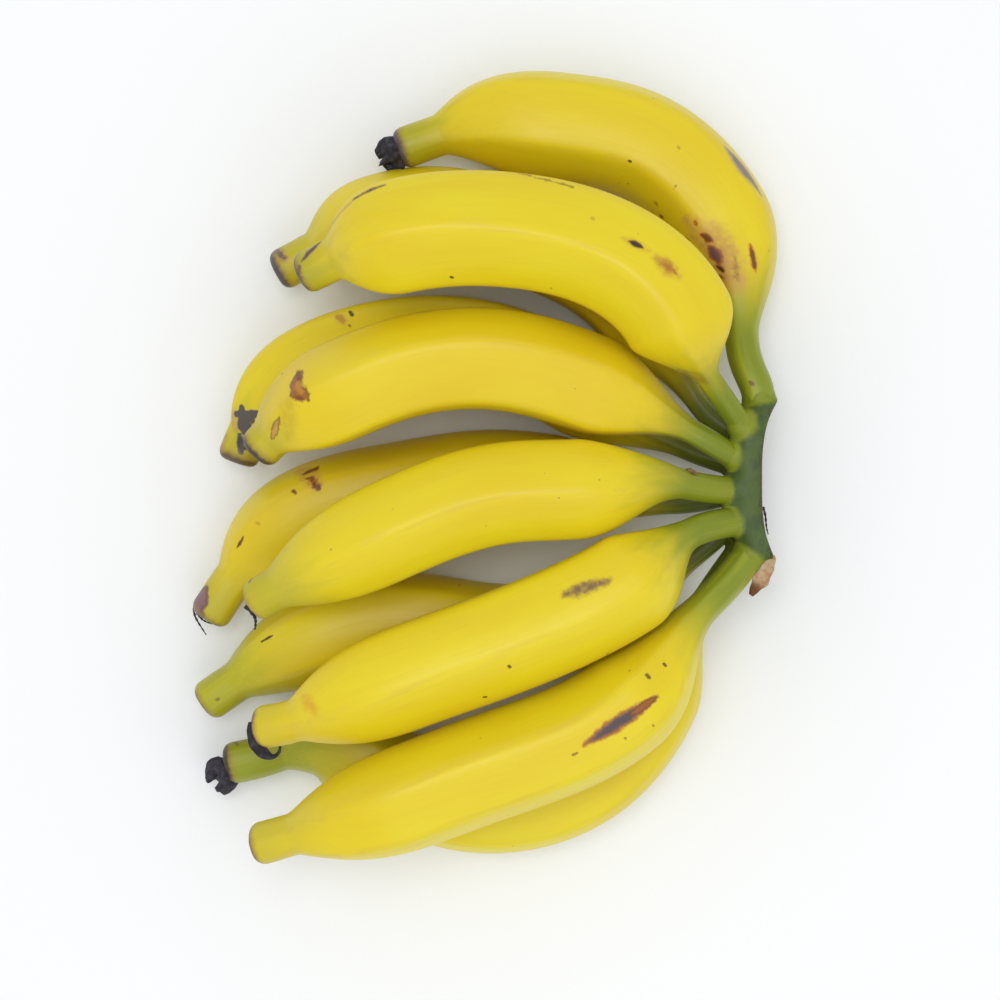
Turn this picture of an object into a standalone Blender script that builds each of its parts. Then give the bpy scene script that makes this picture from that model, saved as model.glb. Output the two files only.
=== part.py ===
"""A hand of small, thick bananas lying on a flat surface, as cut from the plant.

Two rows of curved fingers grow from one crown. The upper row of six lies over the lower row of five.
Seen from above, the crown is at the right (+X) and the fingers sweep to the left (-X).
The table of fingers is in millimetres, measured from the middle of the crown, with Z from the surface.
Every object is made in metres, and the origin is under the middle of the hand, on the surface.
"""

import math
from dataclasses import dataclass

import bmesh
import bpy
import numpy as np

MM = 0.001

# Driving dimensions, in millimetres
NECK_SWELL = 0.04  # the stalk grows this much thicker between the crown and the fruit
TIP_RADIUS = 6.4  # of the bottle neck at the flower end
TIP_ROUNDNESS = 2.5  # how soon the fruit is full again behind the bottle neck
BELLY_FALL = 0.07  # the belly is this much thinner at its ends than at its middle
RIDGE_DEPTH = 0.085  # a face of the fruit lies this much nearer its middle than a ridge
RIDGE_SHARPNESS = 10.0
FACES_ROUND = 5
FLOWER_RADIUS = 3.6  # of the dried flower end, which stands out of the blunt tip
FINGER_GAP = -0.7  # least room between the rounds that the ridges of two fingers lie on
CUT_GAP = 0.3  # room between a neck and the crown
PRESS = 0.45  # how far the fruit that rests is flattened where it touches the surface

CROWN_HEIGHT = 26.0  # middle of the crown above the surface
CROWN_HALF_LENGTH = 23.0
CROWN_HALF_WIDTH = 5.6
CROWN_HALF_DEPTH = 13.0
CROWN_BOW = 4.6  # the crown's ends stand this far to the right of its middle
CROWN_BEND = 3.2  # how much of that bow lies near the ends
CROWN_END = 0.62  # size of the crown's ends against its middle
CUSHION = 1.5  # how far the crown swells at the root of each neck
CUSHION_SPREAD = 4.6

# Fineness of the solids
FINGER_SIDES = 20
TAPER_RINGS = np.array([1.0, 0.70, 0.46, 0.28, 0.14, 0.05])  # shares of the taper, from the belly to the tip
CROWN_RINGS = 26
CROWN_SIDES = 20
SPINE_SAMPLES = 240
SETTLE_SAMPLES = 48
SETTLE_ROUNDS = 500
CROWN_REACH = 15.0  # necks may run into one another this far from their roots, where the crown covers them


@dataclass
class Finger:
    name: str
    belly: float  # radius at the ridges, in millimetres
    neck: float  # radius of the stalk where it leaves the crown
    shoulder: tuple  # where the neck ends, and how long the fruit takes to reach its full belly
    tip: tuple  # length of the bottle neck at the flower end, and of the taper down to it
    turn: float  # degrees that the five faces are turned about the finger's own line
    flower: float  # length of the dried flower end
    rests: bool  # whether it lies on the surface
    route: list  # points along the middle of the finger, from inside the crown to the tip


FINGERS = [
    Finger("finger_upper_1", 17.2, 5.0, (26, 38), (13, 38), 5, 6.0, True, [
        (2.4, 18.3, 28), (3.4, 25.5, 29), (0.5, 34, 28), (-1, 46, 24), (-1.5, 64, 19),
        (-12, 87, 17.5), (-31, 102.3, 17.5), (-55, 107.6, 17.5), (-79, 108.4, 17.5), (-93, 104.3, 17.5), (-104, 99.3, 17.5),
    ]),
    Finger("finger_upper_2", 17.2, 3.5, (25.5, 21), (11, 22), 26, 1.6, False, [
        (0.8, 12.3, 31), (-6.0, 22.0, 38.5), (-14.4, 31.3, 45.5), (-25, 47.6, 51), (-43, 66, 51),
        (-68, 72, 51), (-93, 72, 51), (-114, 67, 48), (-131, 60, 43),
    ]),
    Finger("finger_upper_3", 15.6, 3.6, (22, 33), (6, 29), -16, 1.6, False, [
        (0.5, 4.5, 31), (-12, 11, 38), (-25, 19.8, 43), (-46, 27.6, 46), (-72, 34, 48),
        (-99, 32.5, 48), (-121.2, 24.4, 46), (-135.9, 16.4, 42), (-144.7, 8.1, 39),
    ]),
    Finger("finger_upper_4", 15.2, 4.2, (22, 34), (9, 40), 31, 1.6, False, [
        (0.5, -2.8, 31), (-13, -1.9, 39), (-27, 0, 46), (-47, 0.2, 48), (-72, -3, 48),
        (-99, -11.5, 48), (-123, -23, 45), (-137, -30.5, 41), (-146, -35.5, 38),
    ]),
    Finger("finger_upper_5", 15.8, 4.4, (22, 25), (12, 36), 26, 3.0, False, [
        (1.5, -11.3, 31), (-10, -12.6, 37.5), (-20, -16, 43.2), (-31, -25.2, 47.3), (-49, -37.5, 49), (-74, -46.5, 48),
        (-102, -57, 47), (-124, -66, 44), (-135.5, -70.3, 41), (-144.3, -72, 38),
    ]),
    Finger("finger_upper_6", 16.6, 5.0, (26, 38), (12, 40), -14, 1.2, False, [
        (3.0, -18, 29), (-6.5, -30, 35), (-18, -41, 41), (-31.5, -57.5, 45), (-45, -71, 47),
        (-62, -78.6, 48), (-81, -85.2, 48), (-106, -94.5, 47), (-127, -101, 44), (-145, -106.4, 40),
    ]),
    Finger("finger_lower_1", 15.4, 3.4, (20, 34), (13, 22), -20, 1.6, True, [
        (2.0, 12, 20), (-8.5, 19.5, 18), (-22, 34.5, 16), (-43, 60.5, 15.5), (-67, 74, 15.5),
        (-91, 80, 15.5), (-113, 77, 15.5), (-128, 70, 15), (-141, 63.5, 14),
    ]),
    Finger("finger_lower_2", 15.2, 3.4, (20, 36), (10, 30), 19, 1.6, True, [
        (0.5, 4, 20), (-12, 7.8, 18), (-28, 16.5, 16), (-51, 32.5, 15.5), (-76, 40.5, 15.5),
        (-103, 42, 15.5), (-128, 35, 15.5), (-146.6, 20.5, 15), (-153.2, 6, 14),
    ]),
    Finger("finger_lower_3", 14.8, 3.4, (22, 38), (15, 29), -4, 1.6, True, [
        (0.0, -2.5, 20), (-13, -5.5, 18), (-28, -6, 16), (-52, -1, 15), (-79, 1.5, 15),
        (-103, -2, 15), (-130, -8.8, 15), (-148.8, -22.8, 14), (-162.2, -41.5, 13),
    ]),
    Finger("finger_lower_4", 15.0, 3.4, (22, 38), (12, 36), 4, 1.6, True, [
        (1.0, -8.5, 20), (-12, -19.5, 18), (-28, -33, 16), (-52, -43.5, 15), (-79, -44.5, 15),
        (-106, -41.5, 15), (-131, -47.8, 15), (-148.5, -57.3, 14), (-163.3, -67.3, 13),
    ]),
    Finger("finger_lower_5", 15.0, 3.4, (22, 36), (17, 32), -6, 5.0, True, [
        (1.5, -15.6, 20), (-8.6, -30.6, 18), (-20.5, -48.5, 16.5), (-28.5, -68, 15.5), (-39.5, -84.3, 15.5),
        (-59, -95.8, 15.5), (-84, -98, 15.5), (-108, -88, 15.5), (-128, -78.5, 14.5), (-143, -82.5, 14), (-156.5, -85.6, 13.5),
    ]),
]


def smoothstep(value):
    t = np.clip(value, 0.0, 1.0)
    return t * t * (3.0 - 2.0 * t)


def spline_basis(knots, at):
    """The matrix that turns the values at the knots into those of a natural cubic spline at other places."""
    n = len(knots)
    step = np.diff(knots)
    bend, pull = np.eye(n), np.zeros((n, n))
    for i in range(1, n - 1):
        bend[i, i - 1 : i + 2] = step[i - 1], 2.0 * (step[i - 1] + step[i]), step[i]
        pull[i, i - 1 : i + 2] = 6.0 / step[i - 1], -6.0 / step[i - 1] - 6.0 / step[i], 6.0 / step[i]
    second = np.linalg.solve(bend, pull)
    left = np.clip(np.searchsorted(knots, at, side="right") - 1, 0, n - 2)
    width = step[left]
    b = (at - knots[left]) / width
    a = 1.0 - b
    value = np.eye(n)
    return (
        a[:, None] * value[left] + b[:, None] * value[left + 1]
        + ((a**3 - a) * width**2 / 6.0)[:, None] * second[left]
        + ((b**3 - b) * width**2 / 6.0)[:, None] * second[left + 1]
    )


def chord_knots(points):
    return np.concatenate([[0.0], np.cumsum(np.linalg.norm(np.diff(points, axis=0), axis=1))])


def radius_along(finger, distance, length):
    """The radius at the ridges, at a distance from the finger's root."""
    neck_end, shoulder_length = finger.shoulder
    rise = smoothstep((distance - neck_end) / shoulder_length)
    bottle, taper = finger.tip
    share = np.clip((length - bottle - distance) / taper, 0.0, 1.0)
    fall = 1.0 - (1.0 - 1.05 * share**2 / (share + 0.05)) ** TIP_ROUNDNESS
    middle = 0.5 * (neck_end + shoulder_length + length - bottle)
    belly = finger.belly * (1.0 - BELLY_FALL * ((distance - middle) / middle) ** 2)
    neck = finger.neck * (1.0 + NECK_SWELL * smoothstep(distance / neck_end))
    grown = neck + (belly - neck) * rise
    return np.where(distance < middle, grown, TIP_RADIUS + (grown - TIP_RADIUS) * fall)


def face_factor(angle, turn, depth):
    """How far the skin lies from the finger's middle at an angle, as a share of the radius at the ridges."""
    toward = np.cos(angle[:, None] - math.radians(turn) - np.arange(FACES_ROUND) * math.tau / FACES_ROUND)
    reach = (np.maximum(toward, 0.0) ** RIDGE_SHARPNESS).sum(axis=1) ** (-1.0 / RIDGE_SHARPNESS)
    ridge = (2.0 * math.cos(math.pi / FACES_ROUND) ** RIDGE_SHARPNESS) ** (-1.0 / RIDGE_SHARPNESS)
    return 1.0 - depth * (ridge - reach) / (ridge - 1.0)


def depth_below(turn):
    """How far the skin reaches down from the finger's middle, as a share of the radius at the ridges."""
    angle = np.linspace(0.0, math.tau, 361)
    return (face_factor(angle, turn, RIDGE_DEPTH) * -np.cos(angle)).max()


def settle(fingers):
    """Moves the routes apart until no two fingers meet, lets the lower ones down onto the surface."""
    routes, bases, radii, loose, covered = [], [], [], [], []
    for finger in fingers:
        route = np.array(finger.route, float)
        knots = chord_knots(route)
        at = np.linspace(0.0, knots[-1], SETTLE_SAMPLES)
        routes.append(route)
        bases.append(spline_basis(knots, at))
        radii.append(radius_along(finger, at, knots[-1]))
        loose.append(smoothstep((at - 6.0) / 30.0))
        covered.append(at < CROWN_REACH)
    below = [depth_below(finger.turn) for finger in fingers]
    for _ in range(SETTLE_ROUNDS):
        spines = [basis @ route for basis, route in zip(bases, routes)]
        shifts = [np.zeros_like(spine) for spine in spines]
        for i in range(len(fingers)):
            for j in range(i + 1, len(fingers)):
                apart = spines[i][:, None] - spines[j][None]
                distance = np.linalg.norm(apart, axis=2)
                short = np.maximum(radii[i][:, None] + radii[j][None] + FINGER_GAP - distance, 0.0)
                short[covered[i][:, None] & covered[j][None]] = 0.0
                push = apart / distance[..., None] * short[..., None]
                shifts[i] += push[np.arange(SETTLE_SAMPLES), short.argmax(axis=1)]
                shifts[j] -= push[short.argmax(axis=0), np.arange(SETTLE_SAMPLES)]
        for k, finger in enumerate(fingers):
            room = spines[k][:, 2] - radii[k] * below[k] + PRESS
            shifts[k][:, 2] += np.maximum(-room, 0.0)
            if finger.rests:
                shifts[k][:, 2] -= max(room.min(), 0.0)
            moved = bases[k].T @ (shifts[k] * loose[k][:, None])
            routes[k] = routes[k] + 0.3 * moved / np.abs(bases[k]).sum(axis=0)[:, None]
    return routes


def spine_of(route):
    """Even points along the middle of a finger, and their distances from its root."""
    knots = chord_knots(route)
    points = spline_basis(knots, np.linspace(0.0, knots[-1], SPINE_SAMPLES)) @ route
    return points, chord_knots(points)


def finger_rings(finger, route):
    """The rings of points round a finger, from its root to the end of its dried flower."""
    points, along = spine_of(route)
    length = along[-1]
    neck_end, shoulder_length = finger.shoulder
    belly_start = neck_end + shoulder_length
    bottle, taper = finger.tip
    stations = np.concatenate([
        np.linspace(0.0, neck_end, 3, endpoint=False),
        np.linspace(neck_end, belly_start, 6, endpoint=False),
        np.linspace(belly_start, length - bottle - taper, 6, endpoint=False),
        length - bottle - taper * TAPER_RINGS,
        [length - bottle, length - 0.45 * bottle, length - 0.8, length],
    ])
    radii = radius_along(finger, stations, length)
    radii[-1] *= 0.86
    flower = finger.flower * np.array([0.0, 0.55, 1.0])
    stations = np.concatenate([stations, length + flower])
    radii = np.concatenate([radii, FLOWER_RADIUS * np.array([1.15, 0.95, 0.8])])

    inside = np.minimum(stations, length)
    centres = np.stack([np.interp(inside, along, points[:, k]) for k in range(3)], axis=1)
    before = np.stack([np.interp(np.clip(inside - 0.6, 0, length), along, points[:, k]) for k in range(3)], axis=1)
    after = np.stack([np.interp(np.clip(inside + 0.6, 0, length), along, points[:, k]) for k in range(3)], axis=1)
    tangents = after - before
    tangents /= np.linalg.norm(tangents, axis=1)[:, None]
    centres += tangents * (stations - inside)[:, None]
    sideways = np.cross(tangents, [0.0, 0.0, 1.0])
    sideways /= np.linalg.norm(sideways, axis=1)[:, None]
    upward = np.cross(sideways, tangents)

    angles = np.arange(FINGER_SIDES) * math.tau / FINGER_SIDES + math.radians(finger.turn)
    angles += math.pi / FACES_ROUND
    factor = face_factor(angles, finger.turn, RIDGE_DEPTH)
    ragged = 1.0 + 0.16 * np.sin(3.0 * angles + finger.turn) * np.cos(2.0 * angles)
    rings = []
    for i, (centre, radius) in enumerate(zip(centres, radii)):
        share = ragged if i >= len(radii) - 3 else factor
        reach = (radius * share)[:, None]
        rings.append(centre + reach * (np.cos(angles)[:, None] * upward[i] + np.sin(angles)[:, None] * sideways[i]))
    return rings


def crown_rings(neck_roots, grow):
    """The rings of points along the crown, each swollen toward the necks that leave it."""
    rings = []
    angles = np.arange(CROWN_SIDES) * math.tau / CROWN_SIDES
    for t in np.linspace(-1.0, 1.0, CROWN_RINGS):
        end = 1.0 - (1.0 - CROWN_END) * abs(t) ** 3
        rounded = math.sqrt(max(1.0 - abs(t) ** 14, 0.12))
        centre = np.array([CROWN_BOW * abs(t) ** CROWN_BEND, CROWN_HALF_LENGTH * t, CROWN_HEIGHT])
        slope = CROWN_BOW * CROWN_BEND * abs(t) ** (CROWN_BEND - 1.0)
        lean = math.atan2(math.copysign(slope, t), CROWN_HALF_LENGTH)
        outward = np.array([-math.cos(lean), math.sin(lean), 0.0])
        across, high = np.cos(angles), np.sin(angles)
        square = (np.abs(across) ** 2.6 + np.abs(high) ** 2.6) ** (-1.0 / 2.6)
        width = CROWN_HALF_WIDTH * end * rounded * square * across + grow * across
        depth = CROWN_HALF_DEPTH * end * rounded * square * high + grow * high
        ring = centre + width[:, None] * outward + depth[:, None] * np.array([0.0, 0.0, 1.0])
        ring[:, 1] += grow * t
        near = np.zeros(CROWN_SIDES)
        for root in neck_roots:
            away = np.linalg.norm((ring - root)[:, 1:], axis=1)
            near = np.maximum(near, np.exp(-((away / CUSHION_SPREAD) ** 2)))
        rings.append(ring + (CUSHION * near * np.clip(across, 0.0, 1.0))[:, None] * outward)
    return rings


def object_from_rings(name, rings, shift, material):
    """A closed object whose skin runs through the rings, with flat ends."""
    mesh_maker = bmesh.new()
    rows = [[mesh_maker.verts.new((np.array(point) + shift) * MM) for point in ring] for ring in rings]
    for first, second in zip(rows, rows[1:]):
        for k in range(len(first)):
            following = (k + 1) % len(first)
            mesh_maker.faces.new((first[k], first[following], second[following], second[k]))
    mesh_maker.faces.new(rows[0][::-1])
    mesh_maker.faces.new(rows[-1])
    bmesh.ops.recalc_face_normals(mesh_maker, faces=mesh_maker.faces)
    mesh = bpy.data.meshes.new(name)
    mesh_maker.to_mesh(mesh)
    mesh_maker.free()
    mesh.shade_smooth()
    mesh.set_sharp_from_angle(angle=math.radians(50))
    mesh.materials.append(material)
    made = bpy.data.objects.new(name, mesh)
    bpy.context.scene.collection.objects.link(made)
    return made


def flatten_underside(finger_object):
    """Cuts the fruit off at the surface, so that it rests on flat spots where its weight presses it."""
    mesh_maker = bmesh.new()
    mesh_maker.from_mesh(finger_object.data)
    everything = mesh_maker.verts[:] + mesh_maker.edges[:] + mesh_maker.faces[:]
    cut = bmesh.ops.bisect_plane(
        mesh_maker, geom=everything, dist=1e-7, plane_co=(0, 0, 0), plane_no=(0, 0, -1), clear_outer=True
    )
    edges = [item for item in cut["geom_cut"] if isinstance(item, bmesh.types.BMEdge)]
    if edges:
        bmesh.ops.holes_fill(mesh_maker, edges=edges, sides=0)
        bmesh.ops.recalc_face_normals(mesh_maker, faces=mesh_maker.faces)
    mesh_maker.to_mesh(finger_object.data)
    mesh_maker.free()


def plain_material(name, colour, roughness):
    material = bpy.data.materials.new(name)
    material.use_nodes = True
    shader = material.node_tree.nodes["Principled BSDF"]
    shader.inputs["Base Color"].default_value = (*colour, 1.0)
    shader.inputs["Roughness"].default_value = roughness
    shader.inputs["Metallic"].default_value = 0.0
    return material


def trim(finger_object, cutter):
    """Cuts the neck's root to the crown's shape, with a thin gap."""
    cut = finger_object.modifiers.new("meet_the_crown", "BOOLEAN")
    cut.operation = "DIFFERENCE"
    cut.solver = "EXACT"
    cut.object = cutter


def hand_shapes():
    """The rings of the crown, of its cutter and of every finger, and the shift that centres the hand."""
    routes = settle(FINGERS)
    neck_roots = [route[0] + (route[1] - route[0]) * 0.5 for route in routes]
    bodies = {finger.name: finger_rings(finger, route) for finger, route in zip(FINGERS, routes)}
    crown = crown_rings(neck_roots, 0.0)
    every_point = np.concatenate([np.concatenate(rings) for rings in [crown, *bodies.values()]])
    low, high = every_point.min(axis=0), every_point.max(axis=0)
    shift = np.array([-(low[0] + high[0]) / 2, -(low[1] + high[1]) / 2, 0.0])
    return crown, crown_rings(neck_roots, CUT_GAP), bodies, shift


def main():
    for old in list(bpy.data.objects):
        bpy.data.objects.remove(old)
    skin = plain_material("ripe_skin", (0.80, 0.62, 0.03), 0.42)
    stem = plain_material("green_stem", (0.12, 0.21, 0.03), 0.55)
    crown, grown_crown, bodies, shift = hand_shapes()
    object_from_rings("crown", crown, shift, stem)
    cutter = object_from_rings("crown_cutter", grown_crown, shift, stem)
    cutter.hide_render = True
    cutter.display_type = "WIRE"
    for name, rings in bodies.items():
        finger_object = object_from_rings(name, rings, shift, skin)
        flatten_underside(finger_object)
        trim(finger_object, cutter)


main()
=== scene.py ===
"""The looks of a hand of small, thick bananas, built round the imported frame.

Each finger is a fine mesh on the same route as its CAD solid.
The crown is one grown form with the necks' roots.
The finger table, its settling and the radii repeat those of the part's source, in millimetres.
"""

import math
from dataclasses import dataclass

import bpy
import numpy as np
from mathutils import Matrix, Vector
from mathutils.bvhtree import BVHTree

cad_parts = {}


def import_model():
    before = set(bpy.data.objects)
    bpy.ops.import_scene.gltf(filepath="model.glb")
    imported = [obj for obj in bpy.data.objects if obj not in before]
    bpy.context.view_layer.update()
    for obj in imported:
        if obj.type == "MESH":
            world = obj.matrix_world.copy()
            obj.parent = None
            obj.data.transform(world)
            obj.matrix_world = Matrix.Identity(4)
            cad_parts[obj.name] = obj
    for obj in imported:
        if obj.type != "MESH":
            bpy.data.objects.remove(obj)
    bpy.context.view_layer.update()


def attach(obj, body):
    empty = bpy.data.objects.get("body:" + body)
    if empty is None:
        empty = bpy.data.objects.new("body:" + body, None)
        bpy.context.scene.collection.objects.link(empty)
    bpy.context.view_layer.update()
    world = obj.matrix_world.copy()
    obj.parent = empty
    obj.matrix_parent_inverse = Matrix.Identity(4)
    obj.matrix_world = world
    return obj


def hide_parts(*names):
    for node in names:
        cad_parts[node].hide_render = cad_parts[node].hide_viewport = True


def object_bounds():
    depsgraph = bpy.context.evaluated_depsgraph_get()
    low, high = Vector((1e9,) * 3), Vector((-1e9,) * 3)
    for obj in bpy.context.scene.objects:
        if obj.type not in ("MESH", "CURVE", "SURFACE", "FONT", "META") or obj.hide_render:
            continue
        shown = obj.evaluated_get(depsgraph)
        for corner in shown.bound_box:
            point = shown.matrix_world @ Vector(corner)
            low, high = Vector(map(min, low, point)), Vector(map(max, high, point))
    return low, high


MM = 0.001
CROWN_PLACE = np.array([78.2100, -5.8970, 0.0])

# The fruit's proportions, as in the part's source
NECK_SWELL = 0.04
TIP_RADIUS = 6.4
TIP_ROUNDNESS = 2.5
BELLY_FALL = 0.07
RIDGE_DEPTH = 0.085
RIDGE_SHARPNESS = 10.0
FACES_ROUND = 5
FINGER_GAP = -0.7
PRESS = 0.45
CROWN_HEIGHT = 26.0
CROWN_REACH = 15.0
SPINE_SAMPLES = 240
SETTLE_SAMPLES = 48
SETTLE_ROUNDS = 500

# The finer skin
SKIN_SIDES = 88
SKIN_RINGS = 190
SKIN_SHARPNESS = 17.0  # of the ridges between the faces
LUMP = 0.014  # how uneven the skin is, as a share of its radius
TORN_SIDES = 60
STRIP_SIDES = 16

# The photograph's camera: straight above, in millimetres, with 2431 pixels to a right angle's tangent
CAMERA_PLACE = (CROWN_PLACE[0] - 73.3, CROWN_PLACE[1] - 5.4, 750.0)
FOCAL_PIXELS = 2431.0
FRAME_PIXELS = 1000.0
SENSOR = 36.0


@dataclass
class Finger:
    name: str
    belly: float  # radius at the ridges, in millimetres
    neck: float  # radius of the stalk where it leaves the crown
    shoulder: tuple  # where the neck ends, and how long the fruit takes to reach its full belly
    tip: tuple  # length of the bottle neck at the flower end, and of the taper down to it
    turn: float  # degrees that the five faces are turned about the finger's own line
    flower: float  # length of the dried flower end
    rests: bool  # whether it lies on the surface
    route: list  # points along the middle of the finger, from inside the crown to the tip


FINGERS = [
    Finger("finger_upper_1", 17.2, 5.0, (26, 38), (13, 38), 5, 6.0, True, [
        (2.4, 18.3, 28), (3.4, 25.5, 29), (0.5, 34, 28), (-1, 46, 24), (-1.5, 64, 19),
        (-12, 87, 17.5), (-31, 102.3, 17.5), (-55, 107.6, 17.5), (-79, 108.4, 17.5), (-93, 104.3, 17.5),
        (-104, 99.3, 17.5),
    ]),
    Finger("finger_upper_2", 17.2, 3.5, (25.5, 21), (11, 22), 26, 1.6, False, [
        (0.8, 12.3, 31), (-6.0, 22.0, 38.5), (-14.4, 31.3, 45.5), (-25, 47.6, 51), (-43, 66, 51),
        (-68, 72, 51), (-93, 72, 51), (-114, 67, 48), (-131, 60, 43),
    ]),
    Finger("finger_upper_3", 15.6, 3.6, (22, 33), (6, 29), -16, 1.6, False, [
        (0.5, 4.5, 31), (-12, 11, 38), (-25, 19.8, 43), (-46, 27.6, 46), (-72, 34, 48),
        (-99, 32.5, 48), (-121.2, 24.4, 46), (-135.9, 16.4, 42), (-144.7, 8.1, 39),
    ]),
    Finger("finger_upper_4", 15.2, 4.2, (22, 34), (9, 40), 31, 1.6, False, [
        (0.5, -2.8, 31), (-13, -1.9, 39), (-27, 0, 46), (-47, 0.2, 48), (-72, -3, 48),
        (-99, -11.5, 48), (-123, -23, 45), (-137, -30.5, 41), (-146, -35.5, 38),
    ]),
    Finger("finger_upper_5", 15.8, 4.4, (22, 25), (12, 36), 26, 3.0, False, [
        (1.5, -11.3, 31), (-10, -12.6, 37.5), (-20, -16, 43.2), (-31, -25.2, 47.3), (-49, -37.5, 49),
        (-74, -46.5, 48),
        (-102, -57, 47), (-124, -66, 44), (-135.5, -70.3, 41), (-144.3, -72, 38),
    ]),
    Finger("finger_upper_6", 16.6, 5.0, (26, 38), (12, 40), -14, 1.2, False, [
        (3.0, -18, 29), (-6.5, -30, 35), (-18, -41, 41), (-31.5, -57.5, 45), (-45, -71, 47),
        (-62, -78.6, 48), (-81, -85.2, 48), (-106, -94.5, 47), (-127, -101, 44), (-145, -106.4, 40),
    ]),
    Finger("finger_lower_1", 15.4, 3.4, (20, 34), (13, 22), -20, 1.6, True, [
        (2.0, 12, 20), (-8.5, 19.5, 18), (-22, 34.5, 16), (-43, 60.5, 15.5), (-67, 74, 15.5),
        (-91, 80, 15.5), (-113, 77, 15.5), (-128, 70, 15), (-141, 63.5, 14),
    ]),
    Finger("finger_lower_2", 15.2, 3.4, (20, 36), (10, 30), 19, 1.6, True, [
        (0.5, 4, 20), (-12, 7.8, 18), (-28, 16.5, 16), (-51, 32.5, 15.5), (-76, 40.5, 15.5),
        (-103, 42, 15.5), (-128, 35, 15.5), (-146.6, 20.5, 15), (-153.2, 6, 14),
    ]),
    Finger("finger_lower_3", 14.8, 3.4, (22, 38), (15, 29), -4, 1.6, True, [
        (0.0, -2.5, 20), (-13, -5.5, 18), (-28, -6, 16), (-52, -1, 15), (-79, 1.5, 15),
        (-103, -2, 15), (-130, -8.8, 15), (-148.8, -22.8, 14), (-162.2, -41.5, 13),
    ]),
    Finger("finger_lower_4", 15.0, 3.4, (22, 38), (12, 36), 4, 1.6, True, [
        (1.0, -8.5, 20), (-12, -19.5, 18), (-28, -33, 16), (-52, -43.5, 15), (-79, -44.5, 15),
        (-106, -41.5, 15), (-131, -47.8, 15), (-148.5, -57.3, 14), (-163.3, -67.3, 13),
    ]),
    Finger("finger_lower_5", 15.0, 3.4, (22, 36), (17, 32), -6, 5.0, True, [
        (1.5, -15.6, 20), (-8.6, -30.6, 18), (-20.5, -48.5, 16.5), (-28.5, -68, 15.5), (-39.5, -84.3, 15.5),
        (-59, -95.8, 15.5), (-84, -98, 15.5), (-108, -88, 15.5), (-128, -78.5, 14.5), (-143, -82.5, 14),
        (-156.5, -85.6, 13.5),
    ]),
]


def linear(red, green, blue):
    """A colour given as 0 to 255 on a screen, in the linear light that shaders use."""
    shares = [value / 255.0 for value in (red, green, blue)]
    return tuple(s / 12.92 if s <= 0.04045 else ((s + 0.055) / 1.055) ** 2.4 for s in shares) + (1.0,)


BRIGHT = linear(224, 206, 26)
DEEP = linear(216, 184, 14)
PALE = linear(214, 202, 56)
FIBRE = linear(208, 178, 40)
WORN = linear(200, 168, 72)
OLIVE = linear(152, 150, 40)
TIP_YELLOW = linear(186, 172, 44)
TIP_GREEN = linear(122, 140, 26)
NECK_LIGHT = linear(128, 138, 22)
NECK_DARK = linear(104, 122, 24)
NECK_BRIGHT = linear(150, 158, 34)
NECK_SHADED = linear(96, 106, 30)
NECK_FIBRE = linear(158, 166, 52)
TIP_FIBRE = linear(184, 174, 58)
CROWN_DARK = linear(58, 78, 36)
CROWN_MID = linear(73, 93, 38)
CROWN_STREAK = linear(88, 106, 48)
CUT_PALE = linear(116, 98, 66)
CUT_DARK = linear(78, 66, 44)
CUT_GREENISH = linear(86, 84, 44)
CUT_RIM = linear(60, 58, 34)
BROWN = linear(104, 62, 32)
RUB = linear(198, 154, 74)
RUST = linear(158, 92, 36)
ORANGE = linear(206, 138, 30)
PINK_BROWN = linear(168, 122, 92)
MAUVE = linear(128, 114, 128)
MAUVE_BROWN = linear(134, 100, 104)
SLATE = linear(72, 66, 76)
PURPLE = linear(100, 68, 80)
BLACK_BROWN = linear(58, 44, 40)
SCAR = linear(88, 70, 54)
HALO = linear(146, 118, 58)
SPECK = linear(134, 98, 44)
DRIED_DARK = linear(34, 33, 40)
DRIED_PALE = linear(72, 67, 78)
STRIP_PALE = linear(186, 164, 128)
MAUVE_DARK = linear(104, 92, 110)
SOFT_BROWN = linear(182, 132, 46)
END_BROWN = linear(104, 92, 40)


@dataclass
class Mark:
    """A streak, spot or bruise between two pixels of the photograph, laid on the finger under them."""
    start: tuple
    end: tuple
    width: float  # half of it at the middle, in millimetres
    colour: tuple
    ragged: float = 0.5  # how far noise moves its edge, in millimetres
    soft: float = 0.3
    taper: float = 0.7
    strength: float = 0.9
    core: tuple = None  # colour of its middle
    more: tuple = ()  # further lines that belong to it, each with its two pixels and its half width


@dataclass
class Look:
    ridges: tuple  # degrees from the top of the finger toward its outer side
    twist: float = 0.0  # degrees that the ridges turn from neck to tip
    flat: float = 0.56  # 0 is round, 1 has flat faces
    green: tuple = (24.0, 46.0)  # where the green ends and the yellow is full, in mm from the root
    neck: tuple = NECK_LIGHT
    tip: tuple = OLIVE
    tip_reach: tuple = (6.0, 26.0)
    tip_strength: float = 0.75
    scar: float = 1.2  # how far the dark end reaches up the skin, in millimetres
    scar_colour: tuple = SCAR
    deep: float = 0.0  # shift toward the deeper yellow


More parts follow.
